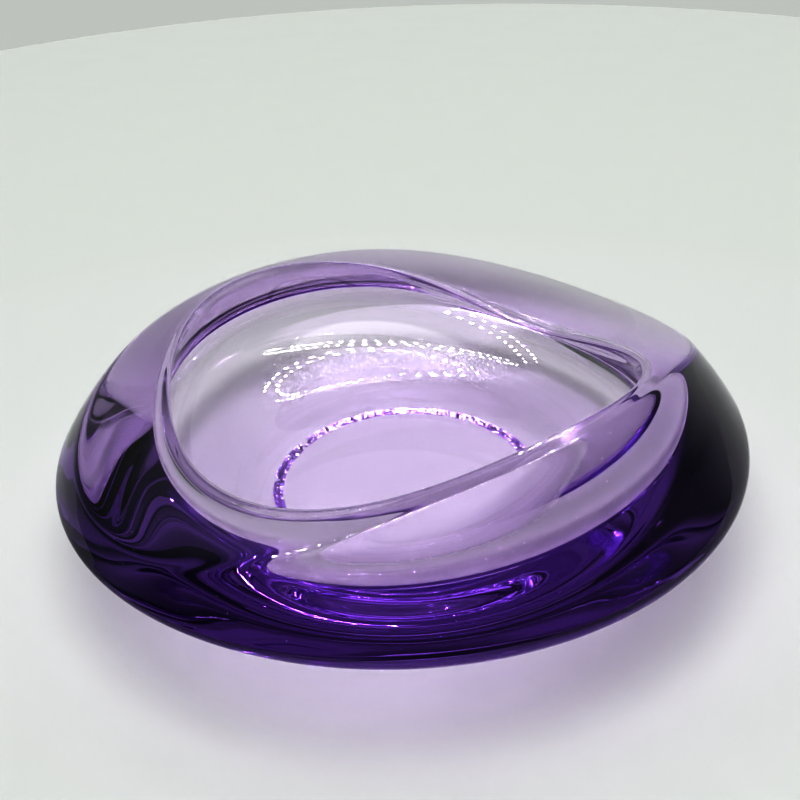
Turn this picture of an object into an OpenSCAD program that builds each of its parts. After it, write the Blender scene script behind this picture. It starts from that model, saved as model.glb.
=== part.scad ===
// Thick-walled art glass bowl with a hand-twisted rim.
// Two gathers of violet glass: a lining that holds the contents and forms the lip, and
// an outer casing with the ridge, the widest ring and the foot. They are fused face to
// face all the way round.
// Millimetres. +Z up, front towards -Y. Origin at the centre of the flat foot.

/* [Overall body] */

// Mean radius of the widest ring
ring_radius = 79.4; // [64:0.1:100]
// Height of the widest ring above the table
ring_height = 22.5; // [18:0.5:25]
// Slight oval of the widest ring
ring_oval = 0.4; // [0:0.1:2]
// Inward lean of the wall above the widest ring, sideways per unit of height
wall_lean = 0.62; // [0.5:0.02:0.7]
// Extra lean gained with height
wall_curve = 0.01; // [0.005:0.001:0.011]

/* [Foot] */

// Radius of the ground flat foot
foot_radius = 30.5; // [24:0.5:36]
// Width of the small bevel round the foot
foot_bevel = 1; // [0.6:0.1:1.6]
// Share of the underside that stays nearly flat beyond the foot
heel = 0.28; // [0.1:0.02:0.36]
// How much steeper the underside gets towards the widest ring
heel_bend = 1.08; // [1:0.02:1.6]

/* [Outer ridge] */

// Mean height of the ridge above the widest ring
ridge_rise = 14.4; // [13.5:0.1:16]
// One-sided tilt of the ridge
ridge_tilt = 5.9; // [4:0.1:6]
// Direction of the high side of that tilt, degrees from +X
ridge_tilt_dir = -73; // [-90:1:-60]
// Two-lobed twist of the ridge
ridge_twist = 7.3; // [4:0.1:7.5]
// Direction of one high lobe of the twist
ridge_twist_dir = -48; // [-55:1:-40]
// Quick ripple that steepens the falls of the ridge
ridge_ripple = 1.4; // [0:0.1:1.5]
// Direction of the ripple
ridge_ripple_dir = -5; // [-15:1:10]

/* [Rim] */

// Mean radius of the opening
rim_radius = 53.2; // [48:0.1:56]
// Sideways shift of the opening
rim_shift = 3.2; // [0:0.1:4]
// Direction of that shift
rim_shift_dir = -165; // [-180:1:-150]
// Oval of the opening
rim_oval = 3.9; // [0:0.1:4.5]
// Long direction of the oval
rim_oval_dir = -56; // [-70:1:-45]
// Three-sided pull that gives the opening its corner on the right
rim_point = 2.8; // [0:0.1:3.5]
// Direction of that corner
rim_point_dir = -7; // [-20:1:10]
// Mean height of the rim above the widest ring
rim_rise = 17.2; // [16.5:0.1:20]
// One-sided tilt of the rim
rim_tilt = 4.8; // [3:0.1:5]
// Direction of the high side of the tilt
rim_tilt_dir = -80; // [-95:1:-65]
// Two-lobed twist of the rim
rim_twist = 5.3; // [3:0.1:5.6]
// Direction of one high lobe
rim_twist_dir = -45; // [-55:1:-38]
// Part of the ring to rim distance that the top surface keeps from the lean of the wall
top_width = 2; // [1:0.1:2.2]
// Mean ring to rim distance at which the wall leans as given above
lean_reach = 26.2; // [25:0.1:27]
// Half width of the fire-polished lip
lip_half = 1.3; // [1:0.1:1.6]

/* [Inside] */

// Glass under the floor of the bowl, foot to floor
floor_thickness = 12; // [9:0.5:13]
// Radius of the flat part of the floor
floor_radius = 34; // [28:0.5:38]
// Glass from the widest ring in to the widest place of the inside, on average
belly_wall = 18.4; // [17.4:0.1:25.4]
// Height of the belly above the table
belly_height = 26.5; // [24:0.5:28]

/* [Lining] */

// Thickness of the lining in the wall
lining_wall = 4.5; // [3:0.5:5]
// Thickness of the lining under the floor
lining_floor = 5; // [3:0.5:5.5]

/* [Hidden] */
// Widest place of the inside, which follows the ring
belly_radius = ring_radius - belly_wall;

// Sections round the bowl, and steps along each stretch of a section
around = 90;
fine = 2;
// Height of the rim at which the belly sits at its own stated height
rim_mid = 17;

// A wave round the bowl with k lobes, one of them in direction d
function wave(amp, k, d, a) = amp * cos(k * (a - d));

function ring_r(a) = ring_radius + wave(ring_oval, 2, 75, a)
    + wave(0.9, 1, -108, a) + wave(0.65, 3, -36, a);

function ridge_z(a) = ridge_rise + wave(ridge_tilt, 1, ridge_tilt_dir, a)
    + wave(ridge_twist, 2, ridge_twist_dir, a)
    + wave(0.5, 3, -29, a) + wave(ridge_ripple, 4, ridge_ripple_dir, a);

function rim_r(a) = rim_radius + wave(rim_shift, 1, rim_shift_dir, a)
    + wave(rim_oval, 2, rim_oval_dir, a) + wave(rim_point, 3, rim_point_dir, a);

function rim_z(a) = rim_rise + wave(rim_tilt, 1, rim_tilt_dir, a)
    + wave(rim_twist, 2, rim_twist_dir, a) + wave(0.75, 3, -46, a);

// Points of a section are [distance from the axis, height above the table]
function lip_at(a) = [rim_r(a), ring_height + rim_z(a)];

// How far the wall leans in by a height h, as given
function lean_by(h) = wall_lean * h + wall_curve * h * h;

// Share of the lean, in proportion to the room that ring and rim leave for it: 1 when they
// are lean_reach apart, less when the rim is wider, so the ridge stays outside the rim
function lean_share(a) = let (room = ring_r(a) - rim_r(a) - top_width)
    room / (room + lean_reach - (ring_radius - rim_radius));

// The leaning wall, h above the widest ring
function wall_at(a, h) = [ring_r(a) - lean_share(a) * lean_by(h), ring_height + h];

// Widest place of the inside, thickened outwards by t
function belly_at(a, t) =
    [0.6 * rim_r(a) + 0.4 * belly_radius + t, belly_height + (rim_z(a) - rim_mid) * 0.25];

// Part way s from p to q, pushed up and out by a bulge
function between(p, q, s, bulge) =
    p + (q - p) * s + [0.6, 0.8] * bulge * 4 * s * (1 - s);

// The underside, s of the way from the foot to a widest ring of radius w
function under(w, s) = [foot_radius + foot_bevel + (w - 1.5 - foot_radius - foot_bevel) * s,
    foot_bevel * 0.9 + 0.6 * s + (ring_height - 1.8 - foot_bevel * 0.9) * climb(s)];

// Share of the height of the underside gained by then: none up to the heel
function climb(s) = pow(max(0, s - heel) / (1 - heel), heel_bend);

// Control points of the outer face, foot centre to just outside the lip
function outer_ctrl(a) =
    let (w = ring_r(a), h = ring_height, f = foot_radius, b = foot_bevel)
    let (top = max(1.5, ridge_z(a)), ridge = wall_at(a, top), lip = lip_at(a))
    let (far = norm(lip - ridge), dir = (lip - ridge) / far)
    [[0, 0], [f * 0.4, 0], [f * 0.8, 0], [f - b, 0], [f, 0], under(w, 0), under(w, 0.12),
     under(w, 0.22), under(w, 0.34), under(w, 0.5), under(w, 0.72), under(w, 0.92),
     [w - 0.2, h - 0.1], wall_at(a, top * 0.2) - [0.3, 0], wall_at(a, top * 0.5),
     wall_at(a, top * 0.8), wall_at(a, top - min(0.8, top * 0.08)),
     ridge + dir * min(0.8, far * 0.12), between(ridge, lip, 0.22, far * 0.03),
     between(ridge, lip, 0.42, far * 0.03), between(ridge, lip, 0.66, far * 0.03),
     lip - dir * min(2.6, far * 0.3), lip - dir * min(lip_half * 0.8, far * 0.14)];

// Lower part of the inside face or of the fused face: a quarter of an ellipse from the
// belly down to the flat floor, ending on the axis at height f
function floor_ctrl(belly, f) = let (reach = belly[0] - floor_radius, drop = belly[1] - f)
    concat([belly], [for (t = [69, 47, 24])
        [floor_radius + reach * sin(t), belly[1] - drop * cos(t)]],
        [[floor_radius, f], [floor_radius * 0.5, f], [0, f]]);

// Control points of the inside face, lip to the centre of the floor
function inner_ctrl(a) =
    let (lip = lip_at(a), belly = belly_at(a, 0))
    concat([lip + [0, 0.15], lip - [0.45, 0.55] * lip_half, lip - [0.1, 1.8] * lip_half,
        between(lip, belly, 0.42, 0.5), between(lip, belly, 0.78, 0.7)],
        floor_ctrl(belly, floor_thickness));

// Control points of the fused face, from a start point beside the lip
function seam_ctrl(a, start) =
    let (belly = belly_at(a, lining_wall))
    concat([start, between(start, belly, 0.12, 0) - [0.3, 0],
        between(start, belly, 0.42, 0.3), between(start, belly, 0.76, 0.6)],
        floor_ctrl(belly, floor_thickness - lining_floor));

function mirrored(p) = [-p[0], p[1]];

// Cubic B-spline through stretch i of control points c
function spline(c, i, t) = (c[i - 1] * pow(1 - t, 3)
    + c[i] * (3 * pow(t, 3) - 6 * t * t + 4)
    + c[i + 1] * (-3 * pow(t, 3) + 3 * t * t + 3 * t + 1) + c[i + 2] * pow(t, 3)) / 6;

// All the points of a curve that ends on the axis, given a control point to lead in
function curve(c, lead_in) =
    let (n = len(c), out = mirrored(c[n - 2]), d = concat([lead_in], c, [out, out]))
    [for (k = [0:(n - 1) * fine]) spline(d, 1 + floor(k / fine), (k % fine) / fine)];

// Whole outline of the glass, foot centre over the lip to the floor centre
function outline(a) = let (c = concat(outer_ctrl(a), inner_ctrl(a)))
    curve(c, mirrored(c[1]));

function seam(a, start) = let (c = seam_ctrl(a, start)) curve(c, 2 * c[0] - c[1]);

// Number of stretches in the outer face, the inside face and the fused face
lip_step = 22 * fine;
end_step = 34 * fine;
seam_step = 10 * fine;

// Closed section of each body, from its lower point on the axis to its upper one
function casing_section(a) = let (p = outline(a), s = seam(a, p[lip_step]))
    concat([for (k = [0:lip_step]) p[k]], [for (k = [1:seam_step]) s[k]]);

function lining_section(a) = let (p = outline(a), s = seam(a, p[lip_step]))
    concat([for (k = [seam_step:-1:0]) s[k]], [for (k = [lip_step + 1:end_step]) p[k]]);

// Skin over the sections: one point on the axis at each end, rings between. The lining's
// sections run the other way along the fused face, so its quads are split on the other
// diagonal (turned), and both bodies share the very same triangles there.
module skin(sections, turned) {
    n = len(sections[0]) - 2;
    m = len(sections);
    low = [0, 0, sections[0][0][1]];
    high = [0, 0, sections[0][n + 1][1]];
    rings = [for (j = [0:m - 1]) for (k = [1:n]) let (q = sections[j][k], a = j * 360 / m)
        [q[0] * cos(a), q[0] * sin(a), q[1]]];
    at = function (j, k) 2 + (j % m) * n + k;
    ends = [for (j = [0:m - 1]) each [[0, at(j, 0), at(j + 1, 0)],
        [1, at(j + 1, n - 1), at(j, n - 1)]]];
    sides = [for (j = [0:m - 1]) for (k = [0:n - 2])
        let (p = at(j, k), q = at(j, k + 1), r = at(j + 1, k + 1), s = at(j + 1, k))
        each turned ? [[p, q, s], [q, r, s]] : [[p, q, r], [p, r, s]]];
    polyhedron(points = concat([low, high], rings), faces = concat(ends, sides), convexity = 6);
}

// Violet glass that forms the inside of the bowl and its lip
module violet_lining() {
    color([0.42, 0.22, 0.66, 0.6])
        skin([for (j = [0:around - 1]) lining_section(j * 360 / around)], true);
}

// Violet glass cased over the lining, with the ridge, widest ring and foot
module violet_casing() {
    color([0.26, 0.1, 0.44, 0.7])
        skin([for (j = [0:around - 1]) casing_section(j * 360 / around)], false);
}

violet_lining();
violet_casing();
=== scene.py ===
import math

import bpy
import numpy as np
from mathutils import Matrix, Vector


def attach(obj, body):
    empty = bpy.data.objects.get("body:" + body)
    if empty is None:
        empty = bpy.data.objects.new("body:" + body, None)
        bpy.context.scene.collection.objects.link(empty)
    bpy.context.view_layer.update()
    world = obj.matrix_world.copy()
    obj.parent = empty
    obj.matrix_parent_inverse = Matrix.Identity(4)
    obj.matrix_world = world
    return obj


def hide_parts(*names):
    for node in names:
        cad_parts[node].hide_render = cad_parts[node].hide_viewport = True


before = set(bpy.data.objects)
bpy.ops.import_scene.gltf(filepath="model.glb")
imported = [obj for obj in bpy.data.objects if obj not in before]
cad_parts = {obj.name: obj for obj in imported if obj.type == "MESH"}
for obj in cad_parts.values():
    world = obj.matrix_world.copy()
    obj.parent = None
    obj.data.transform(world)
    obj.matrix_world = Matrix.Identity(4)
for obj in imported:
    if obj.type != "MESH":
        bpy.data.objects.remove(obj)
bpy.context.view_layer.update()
mm = 0.001

ring = dict(radius=79.4, height=22.5, oval=(0.4, 75), offset=(0.9, -108), lobes=(0.65, -36),
            lean=0.62, curve=0.01)                     # widest ring, and the wall leaning in above it
foot = dict(radius=30.5, bevel=1.0, heel=0.28, bend=1.08,
            # underside: first height, flat part's rise, end below the ring
            start=0.9, rise=0.6, tuck=1.5, drop=1.8)
ridge = dict(rise=14.4, tilt=(5.9, -73), twist=(7.3, -48), pull=(0.5, -29), ripple=(1.4, -5))
rim = dict(radius=53.2, shift=(3.2, -165), oval=(3.9, -56), point=(2.8, -7),
           rise=17.2, tilt=(4.8, -80), twist=(5.3, -45), pull=(0.75, -46), lip=1.3)
inside = dict(floor=12.0, floorRadius=34.0, bellyRadius=61.0, bellyHeight=26.5, rimMid=17.0)
lining = dict(wall=4.5, floor=5.0)
# sections round the bowl, points a stretch, gap at the fused face in mm and the points it grows over;
# the sections are finer than the CAD's and stand outside its chords, so all is drawn a little smaller
grid = dict(around=360, steps=5, gap=0.012, ease=6, shrink=0.9981)


def wave(pair, lobes, a):                              # amplitude * cos(lobes * (a - direction))
    amp, direction = pair
    return amp * np.cos(lobes * (a - math.radians(direction)))


def pt(r, z):                                          # section points [distance from the axis, height]
    r, z = np.broadcast_arrays(r, z)
    return np.stack([r, z], -1).astype(float)


# radius of the widest ring: mean + 1, 2 and 3 lobed waves
def ringR(a):
    return (ring["radius"] + wave(ring["oval"], 2, a) + wave(ring["offset"], 1, a)
            + wave(ring["lobes"], 3, a))


# ridge above the widest ring: mean + 1 to 4 lobed waves
def ridgeZ(a):
    return (ridge["rise"] + wave(ridge["tilt"], 1, a) + wave(ridge["twist"], 2, a)
            + wave(ridge["pull"], 3, a) + wave(ridge["ripple"], 4, a))


def rimR(a):                                           # radius of the opening: mean + 1 to 3 lobed waves
    return rim["radius"] + wave(rim["shift"], 1, a) + wave(rim["oval"], 2, a) + wave(rim["point"], 3, a)


# rim above the widest ring: mean + 1 to 3 lobed waves
def rimZ(a):
    return rim["rise"] + wave(rim["tilt"], 1, a) + wave(rim["twist"], 2, a) + wave(rim["pull"], 3, a)


def lipAt(a):                                          # top of the lip
    return pt(rimR(a), ring["height"] + rimZ(a))


def wallAt(a, h):                                      # leaning wall: ring radius - lean * h - curve * h^2
    return pt(ringR(a) - ring["lean"] * h - ring["curve"] * h * h, ring["height"] + h)


def bellyAt(a, out):                                   # widest place of the inside, moved outwards
    return pt(0.6 * rimR(a) + 0.4 * inside["bellyRadius"] + out,
              inside["bellyHeight"] + (rimZ(a) - inside["rimMid"]) * 0.25)


# p + (q - p) * s, pushed up and out by 4 * s * (1 - s) bulges
def between(p, q, s, bulge):
    return p + (q - p) * s + np.array([0.6, 0.8]) * bulge * 4 * s * (1 - s)


# underside, share s of the way out: nearly flat up to the heel
def underAt(w, s):
    near, low = foot["radius"] + foot["bevel"], foot["bevel"] * foot["start"]
    climb = (max(0, s - foot["heel"]) / (1 - foot["heel"])) ** foot["bend"]
    return pt(near + (w - foot["tuck"] - near) * s,
              low + foot["rise"] * s + (ring["height"] - foot["drop"] - low) * climb)


# control points of the outer face, foot centre to the lip
def outerCtrl(a):
    w, f, b, o = ringR(a), foot["radius"], foot["bevel"], 0 * a
    top = np.maximum(1.5, ridgeZ(a))
    crest, lip = wallAt(a, top), lipAt(a)
    far = np.linalg.norm(lip - crest, axis=-1, keepdims=True)
    way = (lip - crest) / far
    return ([pt(o, o), pt(o + f * 0.4, o), pt(o + f * 0.8, o), pt(o + f - b, o), pt(o + f, o)]
            + [underAt(w, s) for s in (0, 0.12, 0.22, 0.34, 0.5, 0.72, 0.92)]
            + [pt(w - 0.2, ring["height"] - 0.1), wallAt(a, top * 0.2) - np.array([0.3, 0]),
               wallAt(a, top * 0.5), wallAt(a, top * 0.8), wallAt(a, top - np.minimum(0.8, top * 0.08)),
               crest + way * np.minimum(0.8, far * 0.12)]
            + [between(crest, lip, s, far * 0.03) for s in (0.22, 0.42, 0.66)]
            + [lip - way * np.minimum(2.6, far * 0.3),
               lip - way * np.minimum(rim["lip"] * 0.8, far * 0.14)])


# quarter ellipse from the belly to the flat floor at height f
def floorCtrl(belly, f):
    o, fr = 0 * belly[..., 0], inside["floorRadius"]
    reach, drop = belly[..., 0] - fr, belly[..., 1] - f
    turns = [math.radians(t) for t in (69, 47, 24)]
    bend = [pt(fr + reach * math.sin(t), belly[..., 1] - drop * math.cos(t)) for t in turns]
    return [belly] + bend + [pt(o + fr, f), pt(o + fr * 0.5, f), pt(o, f)]


# control points of the inside face, lip to the floor centre
def innerCtrl(a):
    lip, belly, half = lipAt(a), bellyAt(a, 0), rim["lip"]
    turned = [lip + np.array([0, 0.15]), lip - np.array([0.45, 0.55]) * half,
              lip - np.array([0.1, 1.8]) * half]
    side = [between(lip, belly, 0.42, 0.5), between(lip, belly, 0.78, 0.7)]
    return turned + side + floorCtrl(belly, inside["floor"])


# control points of the fused face, from just beside the lip
def seamCtrl(a, start):
    belly = bellyAt(a, lining["wall"])
    return [start, between(start, belly, 0.12, 0) - np.array([0.3, 0]), between(start, belly, 0.42, 0.3),
            between(start, belly, 0.76, 0.6)] + floorCtrl(belly, inside["floor"] - lining["floor"])


# cubic B-spline of control points that end on the axis
def curve(ctrl, leadIn, steps):
    leadOut = ctrl[-2] * np.array([-1, 1])
    c = np.stack([leadIn] + ctrl + [leadOut, leadOut])
    k = np.arange((len(ctrl) - 1) * steps + 1)
    i, t = 1 + k // steps, ((k % steps) / steps)[:, None, None]
    return (c[i - 1] * (1 - t) ** 3 + c[i] * (3 * t ** 3 - 6 * t * t + 4)
            + c[i + 1] * (-3 * t ** 3 + 3 * t * t + 3 * t + 1) + c[i + 2] * t ** 3) / 6


# outer face, inside face and seam, [point, section, (r, z)]
def sections(a, steps):
    outer, inner = outerCtrl(a), innerCtrl(a)
    outline = curve(outer + inner, outer[1] * np.array([-1, 1]), steps)
    lipStep = (len(outer) - 1) * steps
    ctrl = seamCtrl(a, outline[lipStep])
    return outline[:lipStep + 1], outline[lipStep:], curve(ctrl, 2 * ctrl[0] - ctrl[1], steps)


# line + normal * away, growing from nothing at the lip
def shifted(line, away):
    d = np.gradient(line, axis=0)
    n = np.stack([d[..., 1], -d[..., 0]], -1)
    n /= np.maximum(np.linalg.norm(n, axis=-1, keepdims=True), 1e-9)
    out = line + n * away * np.clip(np.arange(len(line)) / grid["ease"], 0, 1)[:, None, None]
    out[-1, :, 0] = 0
    return out


# closed body: two section lines that meet at the lip, swept round
def skin(name, low, high, a, fusedFirst):
    line = np.concatenate([low, high[1:]]) * mm * grid["shrink"]
    n, m = len(line) - 2, len(a)
    mid = line[1:-1]
    xyz = np.stack([mid[..., 0] * np.cos(a), mid[..., 0] * np.sin(a), mid[..., 1]], -1).reshape(-1, 3)
    verts = np.concatenate([[[0, 0, line[0, 0, 1]], [0, 0, line[-1, 0, 1]]], xyz])
    j = np.arange(m)
    jn = (j + 1) % m
    k = np.arange(n - 1)[:, None]
    last = 2 + (n - 1) * m
    near, far = 2 + k * m, 2 + (k + 1) * m
    quads = np.stack([near + j, near + jn, far + jn, far + j], -1).reshape(-1, 4)
    lowFan = np.stack([np.zeros(m, int), jn + 2, j + 2], -1)
    highFan = np.stack([np.ones(m, int), last + j, last + jn], -1)
    loops = np.concatenate([quads.ravel(), lowFan.ravel(), highFan.ravel()])
    totals = np.concatenate([np.full(len(quads), 4), np.full(2 * m, 3)])
    mesh = bpy.data.meshes.new(name)
    mesh.vertices.add(len(verts))
    mesh.vertices.foreach_set("co", verts.ravel())
    mesh.loops.add(len(loops))
    mesh.loops.foreach_set("vertex_index", loops)
    mesh.polygons.add(len(totals))
    mesh.polygons.foreach_set("loop_start", np.concatenate([[0], np.cumsum(totals)[:-1]]))
    mesh.update(calc_edges=True)
    mesh.validate()
    rows = np.arange(n - 1) < len(low) - 2
    fusedRows = rows if fusedFirst else ~rows
    fused = np.concatenate([np.repeat(fusedRows, m), np.full(m, fusedFirst), np.full(m, not fusedFirst)])
    mesh.attributes.new("fused", "FLOAT", "FACE").data.foreach_set("value", fused.astype(float))
    mesh.shade_smooth()
    ends = np.empty(2 * len(mesh.edges), int)
    mesh.edges.foreach_get("vertices", ends)
    lipRing = 2 + (len(low) - 2) * m
    sharp = np.all((ends.reshape(-1, 2) >= lipRing) & (ends.reshape(-1, 2) < lipRing + m), axis=1)
    mesh.attributes.new("sharp_edge", "BOOLEAN", "EDGE").data.foreach_set("value", sharp)
    body = bpy.data.objects.new(name, mesh)
    bpy.context.scene.collection.objects.link(body)
    return body


a = np.arange(grid["around"]) * (2 * math.pi / grid["around"])
outerLine, innerLine, seamLine = sections(a, grid["steps"])
casingBody = skin("casingGlass", outerLine, shifted(seamLine, grid["gap"]), a, False)
liningBody = skin("liningGlass", shifted(seamLine, -grid["gap"])[::-1], innerLine, a, True)


class Val:                                             # a shader socket that can be used in sums
    def __init__(self, shade, sock):
        self.shade, self.sock = shade, sock

    def do(self, op, *others):                         # a Math node of this socket and the others, in order
        return self.shade.put("Math", dict(operation=op), dict(enumerate((self,) + others)))

    def __rsub__(self, other):
        return self.shade.put("Math", dict(operation="SUBTRACT"), {0: other, 1: self})

    def __add__(self, other):
        return self.do("ADD", other)

    def __sub__(self, other):
        return self.do("SUBTRACT", other)

    def __mul__(self, other):
        return self.do("MULTIPLY", other)

    def __pow__(self, other):
        return self.do("POWER", other)

    def __lt__(self, other):
        return self.do("LESS_THAN", other)

    __radd__, __rmul__ = __add__, __mul__


class Shade:                                           # one material's nodes
    def __init__(self, name):
        self.mat = bpy.data.materials.new(name)
        self.mat.use_nodes = True
        self.nodes, self.links = self.mat.node_tree.nodes, self.mat.node_tree.links
        self.nodes.clear()

    def put(self, kind, settings=None, feeds=None, out=0):   # any node: settings first, then its sockets
        node = self.nodes.new("ShaderNode" + kind)
        for key, value in (settings or {}).items():
            if key == "stops":
                ramp = node.color_ramp
                while len(ramp.elements) < len(value):
                    ramp.elements.new(0.5)
                for e, (at, colour) in zip(ramp.elements, value):
                    e.position, e.color = at, (*colour, 1)
            else:
                setattr(node, key, value)
        for key, value in (feeds or {}).items():
            if isinstance(value, Val):
                self.links.new(value.sock, node.inputs[key])
            else:
                node.inputs[key].default_value = value
        return Val(self, node.outputs[out])

    def noise(self, where, scale, detail=3.0, rough=0.5):
        return self.put("TexNoise", None,
                        {"Vector": where, "Scale": scale, "Detail": detail, "Roughness": rough})

    def band(self, value, low, high, to=(0.0, 1.0)):         # smooth step of a value from low to high
        return self.put("MapRange", dict(interpolation_type="SMOOTHSTEP"),
                        {"Value": value, "From Min": low, "From Max": high,
                         "To Min": to[0], "To Max": to[1]})

    def mixed(self, factor, one, two):                       # colours mixed by a factor
        return self.put("Mix", dict(data_type="RGBA"), {0: factor, 6: one, 7: two}, out=2)


liningLook = dict(ior=1.54, absorb=(0.36, 0.045, 0.62, 1), density=16.5,         # violet grows with depth
                  smudge=0.012, smearScale=38, smearEdge=(0.52, 0.72),           # handling marks
                  # slow unevenness of hot working
                  ripple=0.00003, rippleScale=22,
                  scratch=0.0000005, scuffTurn=(0.4, 0.2, 0.7), scuffStretch=(30, 700, 50),
                  scuffEdge=(0.68, 0.74), scuffPatch=(0.5, 0.6), patchScale=30,
                  dust=(0.80, 0.80, 0.84, 1), dustScale=420, dustSize=0.045, dustRough=0.9,
                  dustPatch=(0.5, 0.58), dustPatchScale=90, dustCover=0.5)
casingLook = dict(liningLook)
footLook = dict(inner=0.0298, outer=0.0321, feather=0.0004, top=0.0022, wander=0.0009, wanderScale=160,
                facet=620, chip=0.0005, glint=(0.76, 0.58, 0.95, 1), rough=0.10,
                gapScale=420, gapEdge=(0.34, 0.42))    # ground edge: a ragged ring with gaps in it


# small bright facets between two radii, near the table
def groundFoot(s, where, body, look):
    xyz = s.put("SeparateXYZ", None, {0: where})
    x, y, z = (Val(s, xyz.sock.node.outputs[k]) for k in range(3))
    r = (x * x + y * y) ** 0.5 + s.noise(where, look["wanderScale"], 2) * look["wander"]
    begin = s.band(r, look["inner"], look["inner"] + look["feather"])
    end = s.band(r, look["outer"], look["outer"] + look["feather"], (1.0, 0.0))
    edge = begin * end * (z < look["top"])
    height = s.noise(where, look["facet"], 2, 0.6) * look["chip"]
    chips = s.put("Bump", None, {"Height": height, "Distance": 1.0, "Strength": 1.0})
    ground = s.put("BsdfPrincipled", None, {"Base Color": look["glint"], "Metallic": 1.0,
                                            "Roughness": look["rough"], "Normal": chips})
    gaps = s.band(s.noise(where, look["gapScale"], 2), *look["gapEdge"])
    return s.put("MixShader", None, {0: edge * gaps, 1: body, 2: ground})


# pale specks where a cell's centre is near, in patches
def dusty(s, where, body, look):
    cell = s.put("TexVoronoi", None, {"Vector": where, "Scale": look["dustScale"], "Randomness": 1.0})
    near = s.band(cell, look["dustSize"] * 0.6, look["dustSize"], (1.0, 0.0))
    speck = near * s.band(s.noise(where, look["dustPatchScale"], 1), *look["dustPatch"])
    lint = s.put("BsdfPrincipled", None, {"Base Color": look["dust"], "Roughness": look["dustRough"]})
    return s.put("MixShader", None, {0: speck * look["dustCover"], 1: body, 2: lint})


# clear glass on the air faces, nothing at all on the fused face
def glass(name, look, withFoot):
    s = Shade(name)
    where = s.put("TexCoord", None, None, out=3)
    fused = s.put("Attribute", dict(attribute_name="fused", attribute_type="GEOMETRY"), None, out=2)
    smear = s.band(s.noise(where, look["smearScale"], 4, 0.6), *look["smearEdge"])
    hand = s.noise(where, look["rippleScale"], 1, 0.4)
    turned = s.put("Mapping", None,
                   {"Vector": where, "Rotation": look["scuffTurn"], "Scale": look["scuffStretch"]})
    lines = s.band(s.noise(turned, 3, 1, 0.4), *look["scuffEdge"])
    scuffs = lines * s.band(s.noise(where, look["patchScale"], 1), *look["scuffPatch"])
    bump = s.put("Bump", None, {"Height": hand * look["ripple"] + scuffs * look["scratch"],
                                "Distance": 1.0, "Strength": 1.0})
    body = s.put("BsdfPrincipled", None, {"Base Color": (1, 1, 1, 1), "Roughness": smear * look["smudge"],
                                          "IOR": look["ior"], "Transmission Weight": 1.0, "Normal": bump})
    body = dusty(s, where, body, look)
    if withFoot:
        body = groundFoot(s, where, body, footLook)
    surface = s.put("MixShader", None, {0: fused, 1: body, 2: s.put("BsdfTransparent", None, None)})
    inner = s.put("VolumeAbsorption", None, {"Color": look["absorb"], "Density": look["density"]})
    out = s.nodes.new("ShaderNodeOutputMaterial")
    s.links.new(surface.sock, out.inputs["Surface"])
    s.links.new(inner.sock, out.inputs["Volume"])
    return s.mat


for body, look, node, slot in ((liningBody, liningLook, "violet_lining", "lining_glass"),
                               (casingBody, casingLook, "violet_casing", "casing_glass")):
    body.data.materials.append(glass(slot, look, node == "violet_casing"))
    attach(body, "root")
    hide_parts(node)
print("glass done")


tableLook = dict(radius=0.42, colour=(0.785, 0.785, 0.79, 1), far=(0.77, 0.78, 0.77, 1),
                 centre=(-0.01, -0.10), edge=(0.235, 0.262), rough=(0.30, 0.40),
                 grain=60, grainEdge=(0.3, 0.7), shine=0.3, z=-0.00002)


def disc(name, radius, z, spokes=96, rings=8):         # flat disc: a fan at the centre, then rings of quads
    t, r = np.linspace(0, 2 * math.pi, spokes + 1)[:-1], np.linspace(0, radius, rings + 1)[1:]
    x, y = (r[:, None] * np.cos(t)).ravel(), (r[:, None] * np.sin(t)).ravel()
    verts = np.concatenate([[[0, 0, z]], np.stack([x, y, np.full(len(x), z)], -1)])
    j = np.arange(spokes)
    jn = (j + 1) % spokes
    k = 1 + spokes * np.arange(rings - 1)[:, None]
    fan = np.stack([0 * j, 1 + j, 1 + jn], -1).tolist()
    quads = np.stack([k + j, k + spokes + j, k + spokes + jn, k + jn], -1).reshape(-1, 4).tolist()
    mesh = bpy.data.meshes.new(name)
    mesh.from_pydata(verts.tolist(), [], fan + quads)
    obj = bpy.data.objects.new(name, mesh)
    bpy.context.scene.collection.objects.link(obj)
    return obj


# pale matt top, its tone changing softly at a distance
def tableMaterial(look):
    s = Shade("paleTable")
    where = s.put("TexCoord", None, None, out=3)
    xyz = s.put("SeparateXYZ", None, {0: where})
    x, y = (Val(s, xyz.sock.node.outputs[k]) for k in range(2))
    away = ((x - look["centre"][0]) ** 2 + (y - look["centre"][1]) ** 2) ** 0.5
    colour = s.mixed(s.band(away, *look["edge"]), look["colour"], look["far"])
    rough = s.band(s.noise(where, look["grain"], 3), *look["grainEdge"], look["rough"])
    body = s.put("BsdfPrincipled", None,
                 {"Base Color": colour, "Roughness": rough, "Specular IOR Level": look["shine"]})
    out = s.nodes.new("ShaderNodeOutputMaterial")
    s.links.new(body.sock, out.inputs["Surface"])
    return s.mat


tableTop = disc("tableTop", tableLook["radius"], tableLook["z"])
tableTop.data.materials.append(tableMaterial(tableLook))
print("table done")

roomLook = dict(seen=(0.67, 0.69, 0.67, 1), left=(0.15, 0.24, 0.11, 1), right=(0.10, 0.15, 0.10, 1),
                back=(0.74, 0.77, 0.74, 1), front=(0.006, 0.006, 0.007, 1), roof=(3.5, 3.5, 3.5, 1),
                sideEdge=(-0.5, 0.3), backEdge=(0.25, 0.75), frontEdge=(-0.35, 0.05),
                roofEdge=(0.84, 0.92), roofWay=(0.0, -0.22, 0.975))
world = bpy.data.worlds.new("room")
bpy.context.scene.world = world
world.use_nodes = True
nodes, links = world.node_tree.nodes, world.node_tree.links


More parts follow.
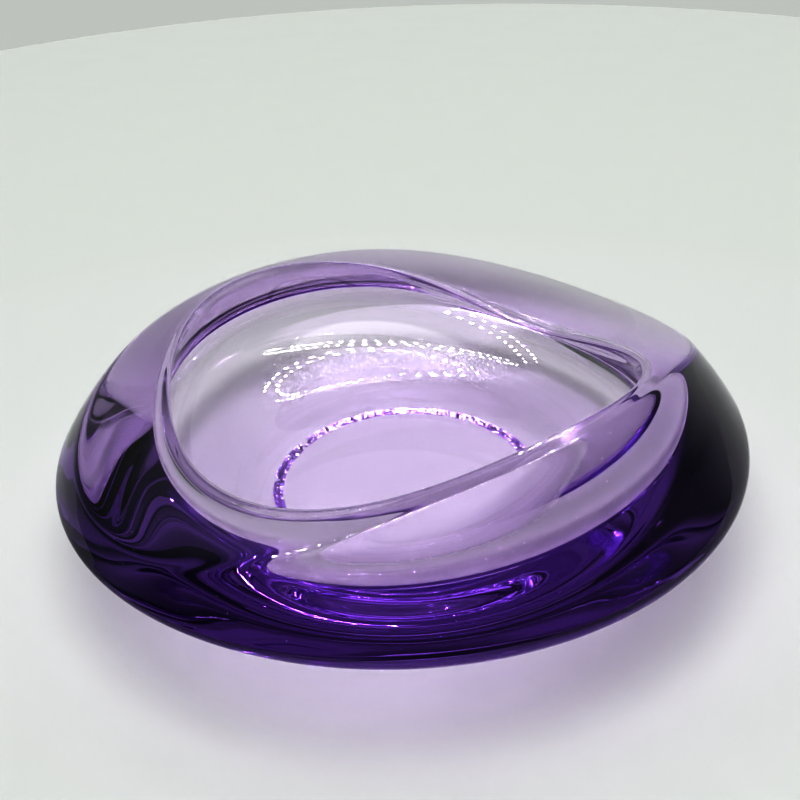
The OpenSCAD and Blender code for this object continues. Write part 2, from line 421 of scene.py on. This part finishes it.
# a node of the room's light: settings first, then its sockets
def worldNode(kind, settings, feeds):
    node = nodes.new("ShaderNode" + kind)
    for key, value in settings.items():
        setattr(node, key, value)
    for key, value in feeds.items():
        if isinstance(value, bpy.types.NodeSocket):
            links.new(value, node.inputs[key])
        else:
            node.inputs[key].default_value = value
    return node


# smooth step from 0 at the edge's start to 1 at its end
def ramp(value, edge):
    return worldNode("MapRange", dict(interpolation_type="SMOOTHSTEP"),
                     {"Value": value, "From Min": edge[0], "From Max": edge[1]}).outputs[0]


def blend(factor, one, two):                           # colours mixed by a factor
    return worldNode("Mix", dict(data_type="RGBA"), {0: factor, 6: one, 7: two}).outputs[2]


looking = nodes.new("ShaderNodeTexCoord").outputs["Generated"]     # direction looked in
way = worldNode("SeparateXYZ", {}, {0: looking}).outputs
sides = blend(ramp(way[0], roomLook["sideEdge"]), roomLook["left"], roomLook["right"])
walls = blend(ramp(way[1], roomLook["backEdge"]), sides, roomLook["back"])
opened = blend(ramp(way[1], roomLook["frontEdge"]), roomLook["front"], walls)
toRoof = worldNode("VectorMath", dict(operation="DOT_PRODUCT"),
                   {0: looking, 1: roomLook["roofWay"]}).outputs["Value"]
room = blend(ramp(toRoof, roomLook["roofEdge"]), opened, roomLook["roof"])
seen = worldNode("LightPath", {}, {}).outputs["Is Camera Ray"]
links.new(blend(seen, room, roomLook["seen"]), nodes["Background"].inputs[0])

lampLook = dict(place=(0.0, 0.10, 0.55), size=(0.5, 0.3), power=0.3)
lampData = bpy.data.lights.new("overhead", "AREA")
lampData.shape, lampData.size, lampData.size_y = "RECTANGLE", *lampLook["size"]
lampData.energy = lampLook["power"]
lamp = bpy.data.objects.new("overhead", lampData)
bpy.context.scene.collection.objects.link(lamp)
facing = (-Vector(lampLook["place"])).to_track_quat("-Z", "Y").to_matrix().to_4x4()
lamp.matrix_world = Matrix.Translation(lampLook["place"]) @ facing
lamp.visible_camera = False

ledLook = dict(count=28, pitch=0.0200, size=0.0060, rows=(0.045, 0.075), z=0.40, power=320.0)


def ledStrips(name, look):                             # rows of small bright squares facing down
    x = (np.arange(look["count"]) - (look["count"] - 1) / 2) * look["pitch"]
    x, y = (g.ravel() for g in np.meshgrid(x, look["rows"]))
    h = look["size"] / 2
    corner = np.array([[-h, -h, 0], [-h, h, 0], [h, h, 0], [h, -h, 0]])
    verts = (corner[None] + np.stack([x, y, np.full(len(x), look["z"])], -1)[:, None]).reshape(-1, 3)
    mesh = bpy.data.meshes.new(name)
    mesh.from_pydata(verts.tolist(), [], np.arange(len(verts)).reshape(-1, 4).tolist())
    obj = bpy.data.objects.new(name, mesh)
    bpy.context.scene.collection.objects.link(obj)
    s = Shade(name)
    glow = s.put("Emission", None, {"Strength": look["power"]})
    out = s.nodes.new("ShaderNodeOutputMaterial")
    s.links.new(glow.sock, out.inputs["Surface"])
    mesh.materials.append(s.mat)
    obj.visible_camera = obj.visible_diffuse = obj.visible_shadow = False


ledStrips("ledStrips", ledLook)
print("stage done")

# distance, lens and sensor in mm, down and roll in degrees, shift as a share, clip in metres
view = dict(distance=300.0, down=33.75, roll=2.7, lens=58.4, sensor=36.0, across=-0.005, up=0.034,
            clip=(0.01, 20))
camData = bpy.data.cameras.new("camera")
camData.sensor_width, camData.lens = view["sensor"], view["lens"]
camData.shift_x, camData.shift_y = view["across"], view["up"]
camData.clip_start, camData.clip_end = view["clip"]
camera = bpy.data.objects.new("camera", camData)
bpy.context.scene.collection.objects.link(camera)
aim = Vector((0, 0, ring["height"] * mm))
down = math.radians(view["down"])
place = aim + Vector((0, -math.cos(down), math.sin(down))) * view["distance"] * mm
turn = (aim - place).to_track_quat("-Z", "Y").to_matrix().to_4x4()
rolled = Matrix.Rotation(math.radians(-view["roll"]), 4, "Z")
camera.matrix_world = Matrix.Translation(place) @ turn @ rolled
bpy.context.scene.camera = camera

toneLook = dict(look="Medium High Contrast", gamma=0.60, exposure=-0.22)
paths = dict(glass=40, gloss=12)                       # bounces: light crosses many faces of thick glass
scene = bpy.context.scene
scene.view_settings.view_transform = "Standard"
scene.view_settings.look = toneLook["look"]
scene.view_settings.gamma = toneLook["gamma"]
scene.view_settings.exposure = toneLook["exposure"]
scene.cycles.max_bounces = paths["glass"]
scene.cycles.transmission_bounces = paths["glass"]
scene.cycles.transparent_max_bounces = paths["glass"]
scene.cycles.glossy_bounces = paths["gloss"]
scene.cycles.sample_clamp_indirect = 0                 # keeps the small bright reflections
print("camera and tone done")
